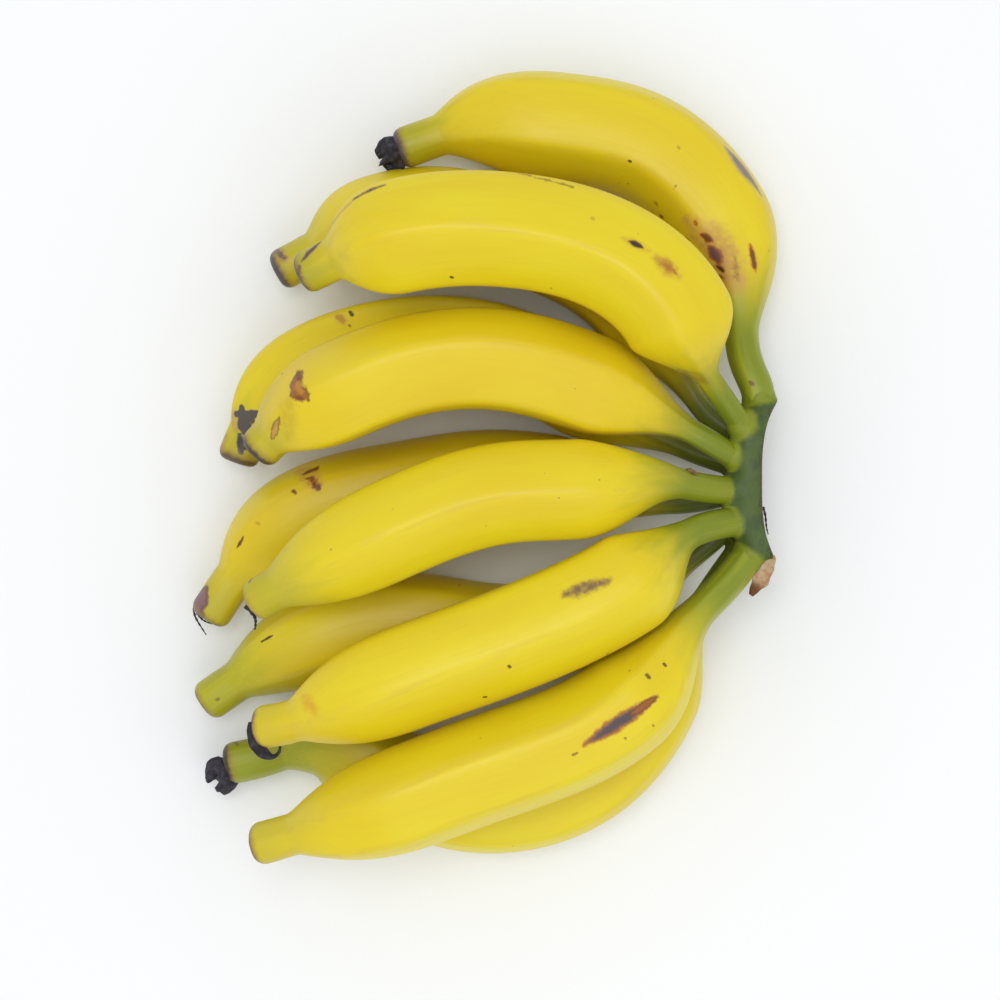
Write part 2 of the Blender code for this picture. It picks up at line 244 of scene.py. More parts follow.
LOOKS = {
    "finger_upper_1": Look(
        (41, 113, 185, 257, 329), 0, 0.62, (30, 50), NECK_BRIGHT, TIP_GREEN, (5, 24), 0.62, 2.2, SLATE, 0.05),
    "finger_upper_2": Look(
        (-10, 62, 134, 206, 278), 26, 0.66, (24, 38), NECK_LIGHT, OLIVE, (4, 20), 0.8, 1.8, SCAR, 0.0),
    "finger_upper_3": Look(
        (20, 92, 164, 236, 308), -8, 0.70, (24, 40), NECK_LIGHT, OLIVE, (4, 20), 0.6, 2.6, BLACK_BROWN, 0.3),
    "finger_upper_4": Look(
        (-5, 67, 139, 211, 283), 10, 0.54, (26, 44), NECK_LIGHT, OLIVE, (8, 32), 0.62, 0.9, PINK_BROWN, 0.0),
    "finger_upper_5": Look(
        (-10, 62, 134, 206, 278), 6, 0.44, (26, 42), NECK_LIGHT, TIP_YELLOW, (4, 20), 0.5, 1.4, PURPLE, 0.0),
    "finger_upper_6": Look(
        (22, 100, 172, 244, 326), -10, 0.64, (28, 46), NECK_BRIGHT, TIP_YELLOW, (4, 28), 0.7, 1.4, BROWN),
    "finger_lower_1": Look(
        (16, 88, 160, 232, 304), 0, 0.6, (20, 38), NECK_SHADED, OLIVE, (6, 30), 0.6, 2.6, SLATE, 0.15),
    "finger_lower_2": Look(
        (55, 127, 199, 271, 343), 0, 0.56, (20, 38), NECK_SHADED, OLIVE, (4, 22), 0.7, 2.4, SCAR, 0.1),
    "finger_lower_3": Look(
        (32, 104, 176, 248, 320), 0, 0.5, (22, 40), NECK_SHADED, OLIVE, (6, 24), 0.6, 0.9, END_BROWN, 0.1),
    "finger_lower_4": Look(
        (40, 112, 184, 256, 328), 0, 0.56, (22, 40), NECK_SHADED, TIP_GREEN, (10, 42), 0.62, 1.0, BROWN, 0.0),
    "finger_lower_5": Look(
        (30, 102, 174, 246, 318), 0, 0.56, (22, 40), NECK_SHADED, TIP_GREEN, (14, 60), 0.85, 2.4,
        BLACK_BROWN),
}

# What each Mark of a finger says, in the order in which they are laid on
MARKS = {
    "finger_upper_1": (
        ((711, 234), (733, 282), 5.2, RUB, 2.2, 3.6, 0.3, 0.9, None, (((690, 224), (710, 246), 3.6),)),
        ((709, 244), (724, 276), 3.0, PINK_BROWN, 1.6, 2.4, 0.4, 0.5),
        ((750.4, 244), (755.7, 272), 1.15, ORANGE, 0.5, 0.6, 0.7, 0.95, BROWN),
        ((702, 235), (712, 241), 1.25, RUST, 0.6, 0.5, 0.5, 0.95, BROWN),
        ((711, 249), (719, 262), 2.2, RUST, 0.9, 0.7, 0.4, 0.9, PURPLE),
        ((717, 266), (723, 271), 1.1, RUST, 0.7, 0.5, 0.5, 0.95, BLACK_BROWN),
        ((719, 275), (723, 278), 0.7, RUST, 0.6, 0.6, 0.4, 0.7, BROWN),
        ((703, 256), (704, 258), 0.6, BROWN, 0.3, 0.4),
        ((735, 258), (737, 280), 0.7, SPECK, 1.2, 1.2, 0.4, 0.6),
        ((695, 222), (697, 225), 0.7, RUST, 0.5, 0.5, 0.4, 0.8),
        ((655, 202), (657, 205), 0.8, RUST, 0.6, 0.7, 0.5, 0.7),
        ((660, 215), (663, 219), 0.9, RUST, 0.6, 0.7, 0.5, 0.8, BROWN),
        ((686, 238), (689, 242), 0.8, RUST, 0.6, 0.6, 0.5, 0.8),
        ((629, 161), (630.5, 161.5), 0.42, BLACK_BROWN, 0.1, 0.2, 0.0),
        ((678, 147), (679, 148), 0.5, RUST, 0.3, 0.4, 0.0, 0.5),
        ((726, 148), (760, 193), 2.9, MAUVE, 0.5, 1.7, 0.7, 0.8, MAUVE_DARK),
        ((750, 382), (754, 385), 0.75, BROWN, 0.3, 0.6, 0.5, 0.8),
    ),
    "finger_upper_2": (
        ((622, 238), (650, 251), 1.3, SOFT_BROWN, 0.5, 1.6, 0.8, 0.6),
        ((629, 241), (643, 248), 0.95, BROWN, 0.35, 0.5, 0.8, 0.95, BLACK_BROWN),
        ((656, 258), (677, 275), 2.3, SOFT_BROWN, 0.9, 2.4, 0.6, 0.8),
        ((664, 263), (671, 270), 1.3, RUST, 0.7, 1.6, 0.5, 0.7),
        ((673, 270), (677, 275), 0.5, RUST, 0.4, 0.5, 0.5, 0.7),
        ((451, 277), (452.5, 277.5), 0.45, BLACK_BROWN, 0.1, 0.2, 0.0),
        ((592, 218), (593, 219), 0.5, RUST, 0.2, 0.4, 0.0, 0.4),
        ((517, 173), (572, 187), 0.5, BROWN, 0.9, 0.4, 0.2, 0.6),
        # painted shade: a dark line along the edge of upper_2 where it lies against the finger below,
        # standing in for the shade in that crease
        ((353, 200), (385, 185), 0.85, PURPLE, 0.4, 0.6, 0.6, 0.9, BROWN),
        ((326, 232), (352, 202), 1.0, PINK_BROWN, 0.4, 1.0, 0.5, 0.6),
        # painted shade: a dark line along the edge of upper_2 where it meets the finger below, near the tips
        ((301, 262), (321, 241), 1.0, PURPLE, 0.4, 0.6, 0.75, 0.9, SLATE),
        ((299, 266), (302, 280), 0.9, PURPLE, 0.8, 0.7, 0.3, 0.8, SLATE),
        # painted shade: a soft darker brown band where the neck of upper_2 begins
        ((682, 371), (704, 381), 2.6, SPECK, 1.0, 2.4, 0.4, 0.5),
    ),
    "finger_upper_3": (
        ((291, 400), (287, 436), 2.6, SPECK, 1.0, 3.6, 0.4, 0.28),
        ((298, 375), (294, 393), 2.3, BROWN, 1.4, 0.8, 0.3, 0.85, RUST, (((299, 388), (304, 396), 2.0),)),
        ((297, 383), (300, 392), 1.2, ORANGE, 1.2, 1.0, 0.3, 0.55),
        ((297, 371), (299, 379), 0.8, BROWN, 1.0, 0.7, 0.3, 0.8),
        ((294, 397), (304, 399), 1.0, RUST, 0.9, 0.8, 0.3, 0.8, BROWN),
        ((279.5, 417), (271.5, 440), 1.2, BROWN, 0.6, 0.5, 0.85, 0.85, RUB),
        ((466, 296), (504, 297), 0.4, BROWN, 0.8, 0.3, 0.3, 0.6),
        ((247, 451), (266, 464), 1.0, PURPLE, 0.4, 0.6, 0.3, 0.9, BLACK_BROWN),
    ),
    "finger_upper_4": (
        ((252, 573), (249, 583), 0.4, BROWN, 0.2, 0.3, 0.5),
        ((240, 588), (242, 602), 1.1, PINK_BROWN, 0.6, 0.8, 0.4, 0.8, RUST),
        ((243, 604), (256, 617), 1.2, PURPLE, 0.6, 0.8, 0.4, 0.9, BLACK_BROWN),
    ),
    "finger_upper_5": (
        ((304, 698), (314, 710), 1.9, ORANGE, 0.9, 2.6, 0.4, 0.6),
        ((564, 595), (608, 581), 2.0, SPECK, 1.2, 1.8, 0.6, 0.75),
        ((567, 593), (604, 582), 1.3, PURPLE, 0.9, 1.6, 0.6, 0.7),
        ((484, 697), (486, 697), 0.45, BROWN, 0.2, 0.2, 0.0),
        ((509, 666), (510, 667), 0.5, BROWN, 0.2, 0.2, 0.0),
        ((251, 716), (264, 750), 2.1, PURPLE, 0.6, 0.8, 0.4, 0.95, SLATE),
    ),
    "finger_upper_6": (
        ((584, 745), (657, 697), 2.3, RUST, 0.6, 0.9, 0.8, 0.95, SLATE),
        ((632, 714), (655, 698), 1.3, BROWN, 0.5, 0.6, 0.5, 0.8, RUST),
        ((609, 646), (644, 634), 0.9, RUST, 0.9, 1.0, 0.6, 0.6),
        ((647, 675), (649, 677), 0.7, OLIVE, 0.3, 0.4, 0.0, 0.8, BROWN),
        ((664, 664), (665.5, 665.5), 0.45, BROWN, 0.2, 0.2, 0.0),
        ((653, 725), (653.6, 726), 0.34, BROWN, 0.2, 0.2, 0.0, 0.6),
        ((625, 738), (625.5, 738.4), 0.34, BROWN, 0.2, 0.2, 0.0, 0.6),
        ((573, 755), (577, 753), 0.4, BROWN, 0.3, 0.2, 0.0, 0.7),
    ),
    "finger_lower_1": (
        ((296, 238), (308, 226), 1.1, PURPLE, 0.6, 0.7, 0.5, 0.85, SLATE),
        ((272, 247), (284, 258), 2.0, PINK_BROWN, 0.8, 1.4, 0.3, 0.8, SLATE),
    ),
    "finger_lower_2": (
        ((234, 412), (236, 428), 1.8, PINK_BROWN, 0.8, 1.4, 0.4, 0.6),
        ((241.5, 408), (243, 418), 1.5, SLATE, 0.5, 0.4, 0.3, 0.95, None,
         (((236, 414), (258, 414), 1.35), ((242.5, 418), (246, 430), 2.5), ((249, 416), (252, 421), 1.5),)),
        ((239.8, 436), (241.5, 452), 1.35, SLATE, 0.9, 0.5, 0.4, 0.9, BLACK_BROWN,
         (((241, 446), (246, 449), 0.9),)),
        ((226, 436), (222, 456), 1.5, PINK_BROWN, 0.8, 1.4, 0.4, 0.7),
        ((350, 312), (352, 315), 0.6, BLACK_BROWN, 0.3, 0.3, 0.0),
        ((338, 316), (345, 322), 1.5, RUB, 1.2, 1.0, 0.3, 0.5, RUST),
        ((349, 325), (350, 326), 0.4, RUST, 0.2, 0.3, 0.0, 0.7),
    ),
    "finger_lower_3": (
        ((301, 470), (316, 484), 3.0, RUB, 1.4, 2.0, 0.3, 0.7),
        ((304, 474), (316, 468), 1.2, RUST, 1.4, 0.8, 0.2, 0.85, BROWN, (((308, 479), (312, 478), 0.9),)),
        ((311, 481), (318, 487), 1.3, RUST, 1.4, 0.8, 0.2, 0.85, BROWN),
        ((293.5, 491), (295.5, 493), 0.6, RUST, 0.3, 0.3, 0.0, 0.8, BROWN),
        ((243.5, 537), (237, 548), 0.55, RUST, 0.4, 0.3, 0.5, 0.85, BLACK_BROWN),
        ((204, 591), (198, 608), 3.1, PURPLE, 0.8, 1.0, 0.3, 0.92, MAUVE_BROWN,
         (((196, 600), (200, 614), 2.4),)),
        ((257, 523), (259, 524), 0.5, RUST, 0.3, 0.4, 0.0, 0.4),
    ),
    "finger_lower_4": (
        ((261, 642), (272.5, 635.5), 0.45, BROWN, 0.3, 0.3, 0.4, 0.9, BLACK_BROWN),
        ((216, 700), (219, 699), 0.6, OLIVE, 0.4, 0.4, 0.2, 0.6, BROWN),
    ),
    "finger_lower_5": (
        ((234, 742), (238, 745), 0.6, BROWN, 0.4, 0.4, 0.2, 0.6),
    ),
}


# Shape of the fingers

def smoothstep(value):
    t = np.clip(value, 0.0, 1.0)
    return t * t * (3.0 - 2.0 * t)


def spline_basis(knots, at):
    """The matrix that turns the values at the knots into those of a natural cubic spline at other places."""
    n = len(knots)
    step = np.diff(knots)
    bend, pull = np.eye(n), np.zeros((n, n))
    for i in range(1, n - 1):
        bend[i, i - 1 : i + 2] = step[i - 1], 2.0 * (step[i - 1] + step[i]), step[i]
        pull[i, i - 1 : i + 2] = 6.0 / step[i - 1], -6.0 / step[i - 1] - 6.0 / step[i], 6.0 / step[i]
    second = np.linalg.solve(bend, pull)
    left = np.clip(np.searchsorted(knots, at, side="right") - 1, 0, n - 2)
    width = step[left]
    b = (at - knots[left]) / width
    a = 1.0 - b
    value = np.eye(n)
    return (
        a[:, None] * value[left] + b[:, None] * value[left + 1]
        + ((a**3 - a) * width**2 / 6.0)[:, None] * second[left]
        + ((b**3 - b) * width**2 / 6.0)[:, None] * second[left + 1]
    )


def chord_knots(points):
    return np.concatenate([[0.0], np.cumsum(np.linalg.norm(np.diff(points, axis=0), axis=1))])


def radius_along(finger, distance, length):
    """The radius at the ridges, at a distance from the finger's root."""
    neck_end, shoulder_length = finger.shoulder
    rise = smoothstep((distance - neck_end) / shoulder_length)
    bottle, taper = finger.tip
    share = np.clip((length - bottle - distance) / taper, 0.0, 1.0)
    fall = 1.0 - (1.0 - 1.05 * share**2 / (share + 0.05)) ** TIP_ROUNDNESS
    middle = 0.5 * (neck_end + shoulder_length + length - bottle)
    belly = finger.belly * (1.0 - BELLY_FALL * ((distance - middle) / middle) ** 2)
    neck = finger.neck * (1.0 + NECK_SWELL * smoothstep(distance / neck_end))
    grown = neck + (belly - neck) * rise
    return np.where(distance < middle, grown, TIP_RADIUS + (grown - TIP_RADIUS) * fall)


def face_factor(angle, turn, depth):
    """How far the part's skin lies from the finger's middle, as a share of the radius at the ridges."""
    toward = np.cos(angle[:, None] - math.radians(turn) - np.arange(FACES_ROUND) * math.tau / FACES_ROUND)
    reach = (np.maximum(toward, 0.0) ** RIDGE_SHARPNESS).sum(axis=1) ** (-1.0 / RIDGE_SHARPNESS)
    ridge = (2.0 * math.cos(math.pi / FACES_ROUND) ** RIDGE_SHARPNESS) ** (-1.0 / RIDGE_SHARPNESS)
    return 1.0 - depth * (ridge - reach) / (ridge - 1.0)


def depth_below(turn):
    """How far the part's skin reaches down from its middle, as a share of the ridges' radius."""
    angle = np.linspace(0.0, math.tau, 361)
    return (face_factor(angle, turn, RIDGE_DEPTH) * -np.cos(angle)).max()


def settle(fingers):
    """Moves the routes apart until no two fingers meet, lets the lower ones down onto the surface."""
    routes, bases, radii, loose, covered = [], [], [], [], []
    for finger in fingers:
        route = np.array(finger.route, float)
        knots = chord_knots(route)
        at = np.linspace(0.0, knots[-1], SETTLE_SAMPLES)
        routes.append(route)
        bases.append(spline_basis(knots, at))
        radii.append(radius_along(finger, at, knots[-1]))
        loose.append(smoothstep((at - 6.0) / 30.0))
        covered.append(at < CROWN_REACH)
    below = [depth_below(finger.turn) for finger in fingers]
    for _ in range(SETTLE_ROUNDS):
        spines = [basis @ route for basis, route in zip(bases, routes)]
        shifts = [np.zeros_like(spine) for spine in spines]
        for i in range(len(fingers)):
            for j in range(i + 1, len(fingers)):
                apart = spines[i][:, None] - spines[j][None]
                distance = np.linalg.norm(apart, axis=2)
                short = np.maximum(radii[i][:, None] + radii[j][None] + FINGER_GAP - distance, 0.0)
                short[covered[i][:, None] & covered[j][None]] = 0.0
                push = apart / distance[..., None] * short[..., None]
                shifts[i] += push[np.arange(SETTLE_SAMPLES), short.argmax(axis=1)]
                shifts[j] -= push[short.argmax(axis=0), np.arange(SETTLE_SAMPLES)]
        for k, finger in enumerate(fingers):
            room = spines[k][:, 2] - radii[k] * below[k] + PRESS
            shifts[k][:, 2] += np.maximum(-room, 0.0)
            if finger.rests:
                shifts[k][:, 2] -= max(room.min(), 0.0)
            moved = bases[k].T @ (shifts[k] * loose[k][:, None])
            routes[k] = routes[k] + 0.3 * moved / np.abs(bases[k]).sum(axis=0)[:, None]
    return routes


def spine_of(route):
    """Even points along the middle of a finger, and their distances from its root."""
    knots = chord_knots(route)
    points = spline_basis(knots, np.linspace(0.0, knots[-1], SPINE_SAMPLES)) @ route
    return points, chord_knots(points)


def frames_along(points, along, stations):
    """The middle of the finger at each station, and the directions along, outward and upward there."""
    length = along[-1]
    inside = np.clip(stations, 0.0, length)

    def at(places):
        places = np.clip(places, 0, length)
        return np.stack([np.interp(places, along, points[:, k]) for k in range(3)], axis=1)

    tangents = at(inside + 0.6) - at(inside - 0.6)
    tangents /= np.linalg.norm(tangents, axis=1)[:, None]
    centres = at(inside) + tangents * (stations - inside)[:, None]
    sideways = np.cross(tangents, [0.0, 0.0, 1.0])
    sideways /= np.linalg.norm(sideways, axis=1)[:, None]
    return centres, tangents, sideways, np.cross(sideways, tangents)


def ridged(angles, ridges):
    """How far skin with flat faces lies from its middle, as a share of the ridges' radius."""
    gaps = np.mod(np.roll(ridges, -1, axis=1) - ridges, math.tau)
    faces = ridges + gaps / 2.0
    toward = np.maximum(np.cos(angles[..., None] - faces[:, None, :]), 0.0) / np.cos(gaps / 2.0)[:, None, :]
    return ((toward**SKIN_SHARPNESS).sum(axis=2) / 2.0) ** (-1.0 / SKIN_SHARPNESS)


def unevenness(angles, stations, chance):
    """Soft swellings of the skin, between -1 and 1, seeded for each finger."""
    a, b, c, d = chance.uniform(0.0, math.tau, 4)
    s = stations[:, None]
    waves = 0.42 * np.sin(2.0 * angles + s / 17.0 + a) + 0.34 * np.sin(3.0 * angles - s / 23.0 + b)
    return waves + 0.24 * np.sin(s / 8.0 + c) * np.sin(angles + d)


def skin_of(finger, look, route, seed):
    """The points of the finger's skin as rings, with what its material needs to know at each of them."""
    chance = np.random.default_rng(seed)
    points, along = spine_of(route)
    length = along[-1]
    end_profile = np.array([
        (-2.9, 1.0), (-2.3, 0.985), (-1.7, 0.955), (-1.15, 0.91), (-0.7, 0.85), (-0.35, 0.78), (-0.1, 0.70),
        (0.0, 0.62),
        (-0.12, 0.55), (-0.42, 0.48), (-0.6, 0.39), (-0.45, 0.30), (-0.15, 0.22), (0.05, 0.14), (0.1, 0.05),
    ])
    advance = end_profile[:, 0]
    stations = np.concatenate([np.linspace(0.0, length - 3.4, SKIN_RINGS), length + advance])
    share = np.concatenate([np.ones(SKIN_RINGS), end_profile[:, 1]])
    shown = np.minimum(stations, length)
    radii = radius_along(finger, shown, length) * share
    centres, _, sideways, upward = frames_along(points, along, stations)

    angles = math.pi + np.arange(SKIN_SIDES) * math.tau / SKIN_SIDES
    angles = np.broadcast_to(angles, (len(stations), SKIN_SIDES))
    turned = np.radians(look.twist) * (shown / length - 0.5)
    ridges = np.radians(look.ridges)[None, :] + turned[:, None]
    neck_end, shoulder_length = finger.shoulder
    body = smoothstep((shown - 0.5 * neck_end) / (0.5 * shoulder_length + 0.5 * neck_end))
    body = 0.45 + 0.55 * body
    near_tip = smoothstep((length - shown - 3.0) / (finger.tip[0] + 8.0))
    flat = look.flat * body * (0.35 + 0.65 * near_tip)
    factor = 1.0 - flat[:, None] * (1.0 - ridged(angles, ridges))
    factor = factor + LUMP * unevenness(angles, stations, chance) * smoothstep(shown / 30.0)[:, None]
    ragged = 0.10 * np.sin(4.0 * angles + seed) + 0.08 * np.sin(9.0 * angles + 2.0 * seed)
    at_end = np.clip((0.66 - share) / 0.3, 0.0, 1.0)
    factor = factor + ragged * at_end[:, None]
    reach = radii[:, None] * factor
    rings = centres[:, None] + reach[..., None] * (
        np.cos(angles)[..., None] * upward[:, None] + np.sin(angles)[..., None] * sideways[:, None]
    )
    away = np.abs(np.mod(angles[..., None] - ridges[:, None] + math.pi, math.tau) - math.pi).min(axis=2)
    near_ridge = np.exp(-((away * radii[:, None] / 1.5) ** 2)) * body[:, None]
    straight = np.stack([
        np.broadcast_to(stations[:, None], reach.shape), reach * np.cos(angles), reach * np.sin(angles)
    ], axis=2)
    from_end = np.broadcast_to((length - stations)[:, None], reach.shape).copy()
    from_end[share < 0.66] = -3.0 * (0.66 - share[share < 0.66])[:, None]
    return rings, {"straight": straight, "ridge": near_ridge, "from_end": from_end}


def ring_faces(rings, sides):
    """The faces between rings of points, with the last point of the list closing the far end."""
    faces = []
    for i in range(rings - 1):
        for k in range(sides):
            here, beside = i * sides + k, i * sides + (k + 1) % sides
            faces.append((here, beside, beside + sides, here + sides))
    faces.append(tuple(range(sides))[::-1])
    last = (rings - 1) * sides
    faces.extend((last + k, last + (k + 1) % sides, rings * sides) for k in range(sides))
    return faces


def write_attribute(mesh, name, values):
    """Keeps a number or a vector at each point of the mesh for its material."""
    values = np.asarray(values, np.float32)
    kind, field = ("FLOAT", "value") if values.ndim == 1 else ("FLOAT_VECTOR", "vector")
    mesh.attributes.new(name, kind, "POINT").data.foreach_set(field, values.ravel())


def mesh_object(name, points, faces, material):
    """An object in metres from points in millimetres in the frame."""
    mesh = bpy.data.meshes.new(name)
    mesh.from_pydata((points * MM).tolist(), [], faces)
    mesh.validate()
    mesh.shade_smooth()
    mesh.materials.append(material)
    write_attribute(mesh, "place", points)
    made = bpy.data.objects.new(name, mesh)
    bpy.context.scene.collection.objects.link(made)
    return made


def inside_box(points, box):
    """Keeps points within the part's own box, so that fruit on the surface is pressed flat there."""
    low, high = (np.array(corner) / MM for corner in box)
    return np.clip(points, low, high)


# Placing marks by the photograph

def photo_ray(pixel):
    """The camera's place and the direction in which it sees a pixel of the photograph."""
    across, down = pixel
    half = FRAME_PIXELS / 2.0
    return Vector(CAMERA_PLACE) * MM, Vector(((across - half), (half - down), -FOCAL_PIXELS)).normalized()


def on_skin(tree, pixel):
    """The point of a mesh that the camera sees at a pixel, in millimetres, or the nearest to its line."""
    origin, direction = photo_ray(pixel)
    hit = tree.ray_cast(origin, direction)[0]
    if hit is None:
        beside = [origin + direction * ((height * MM - origin.z) / direction.z) for height in range(2, 70, 2)]
        hit = min((tree.find_nearest(place) for place in beside), key=lambda found: found[3])[0]
    return tuple(hit / MM)


# Materials

class Paint:
    """A material's node tree, with short ways to add the nodes that the finishes use."""

    def __init__(self, name):
        self.material = bpy.data.materials.new(name)
        self.material.use_nodes = True
        self.tree = self.material.node_tree
        self.shader = self.tree.nodes["Principled BSDF"]
        self.shader.inputs["Metallic"].default_value = 0.0

    def node(self, kind, inputs, **settings):
        made = self.tree.nodes.new("ShaderNode" + kind)
        for key, value in settings.items():
            setattr(made, key, value)
        for key, value in inputs.items():
            self.feed(made.inputs[key], value)
        return made

    def feed(self, socket, value):
        if isinstance(value, bpy.types.NodeSocket):
            self.tree.links.new(value, socket)
        else:
            socket.default_value = value

    def attribute(self, name, output="Fac"):
        return self.node("Attribute", {}, attribute_name=name).outputs[output]

    def math(self, operation, a, b=0.0, clamp=False):
        return self.node("Math", {0: a, 1: b}, operation=operation, use_clamp=clamp).outputs[0]

    def vector(self, operation, a, b=(0.0, 0.0, 0.0)):
        made = self.node("VectorMath", {0: a, 1: b}, operation=operation)
        return made.outputs["Value" if operation in ("DOT_PRODUCT", "LENGTH") else "Vector"]

    def scaled(self, vector, factor):
        return self.node("VectorMath", {0: vector, "Scale": factor}, operation="SCALE").outputs["Vector"]

    def ramp(self, value, low, high, start=0.0, end=1.0):
        """A smooth step: start where value is low, end where it is high."""
        inputs = {0: value, 1: low, 2: high, 3: start, 4: end}
        return self.node("MapRange", inputs, interpolation_type="SMOOTHSTEP").outputs[0]

    def mix(self, factor, a, b):
        return self.node("Mix", {0: factor, 6: a, 7: b}, data_type="RGBA").outputs[2]

    def noise(self, vector, scale, detail=2.0, stretch=(1.0, 1.0, 1.0)):
        """Noise over millimetres, between 0 and 1, with its grains drawn out by stretch."""
        place = self.vector("MULTIPLY", vector, stretch)
        return self.node("TexNoise", {"Vector": place, "Scale": scale, "Detail": detail}).outputs["Fac"]

    def centred(self, value, factor):
        """Noise about 0 in place of 0.5, and larger by a factor."""
        return self.math("MULTIPLY", self.math("SUBTRACT", value, 0.5), factor)

    def add_share(self, base, value, share):
        return self.math("ADD", base, self.math("MULTIPLY", value, share))

    def finish(self, colour, roughness, height, strength, distance, specular):
        """Feeds the shader, with the fine relief as a bump."""
        bump = self.node("Bump", {"Height": height, "Strength": strength, "Distance": distance})
        fed = {"Base Color": colour, "Roughness": roughness, "Normal": bump.outputs["Normal"]}
        fed["Specular IOR Level"] = specular
        for name, value in fed.items():
            self.feed(self.shader.inputs[name], value)
        return self.material

    def near_line(self, place, start, end):
        """The distance from the line between two points in millimetres, and where along it, from 0 to 1."""
        start, end = Vector(start), Vector(end)
        run = end - start
        if run.length < 0.05:
            run = Vector((0.05, 0.0, 0.0))
        away = self.vector("SUBTRACT", place, tuple(start))
        along = self.vector("DOT_PRODUCT", away, tuple(run))
        along = self.math("DIVIDE", along, run.length_squared, clamp=True)
        off = self.vector("SUBTRACT", away, self.scaled(tuple(run), along))
        return self.vector("LENGTH", off), along

    def outside_line(self, place, start, end, width, taper):
        """How far a place lies outside a streak between two points, in millimetres."""
        distance, along = self.near_line(place, start, end)
        centred = self.node("Math", {0: along, 1: 2.0, 2: -1.0}, operation="MULTIPLY_ADD").outputs[0]
        thinner = self.math("MULTIPLY", self.math("MULTIPLY", centred, centred), width * taper)
        return self.math("SUBTRACT", self.math("ADD", distance, thinner), width)

    def marked(self, colour, place, uneven, mottled, mark, lines):
        """The colour with one streak or bruise laid over it."""
        outside = None
        for start, end, width in lines:
            away = self.outside_line(place, start, end, width, mark.taper)
            if outside is None:
                outside = away
            else:
                outside = self.node("Math", {0: outside, 1: away, 2: 0.7}, operation="SMOOTH_MIN").outputs[0]
        edge = self.add_share(outside, uneven, mark.ragged)
        cover = self.ramp(edge, -mark.soft * 0.6, mark.soft * 0.6, mark.strength, 0.0)
        if mark.soft > 1.0:
            cover = self.math("MULTIPLY", cover, mottled)
        painted = self.mix(cover, colour, mark.colour)
        if mark.core:
            inner = self.ramp(edge, -mark.width * 0.62, -mark.width * 0.12, mark.strength, 0.0)
            painted = self.mix(inner, painted, mark.core)
        return painted


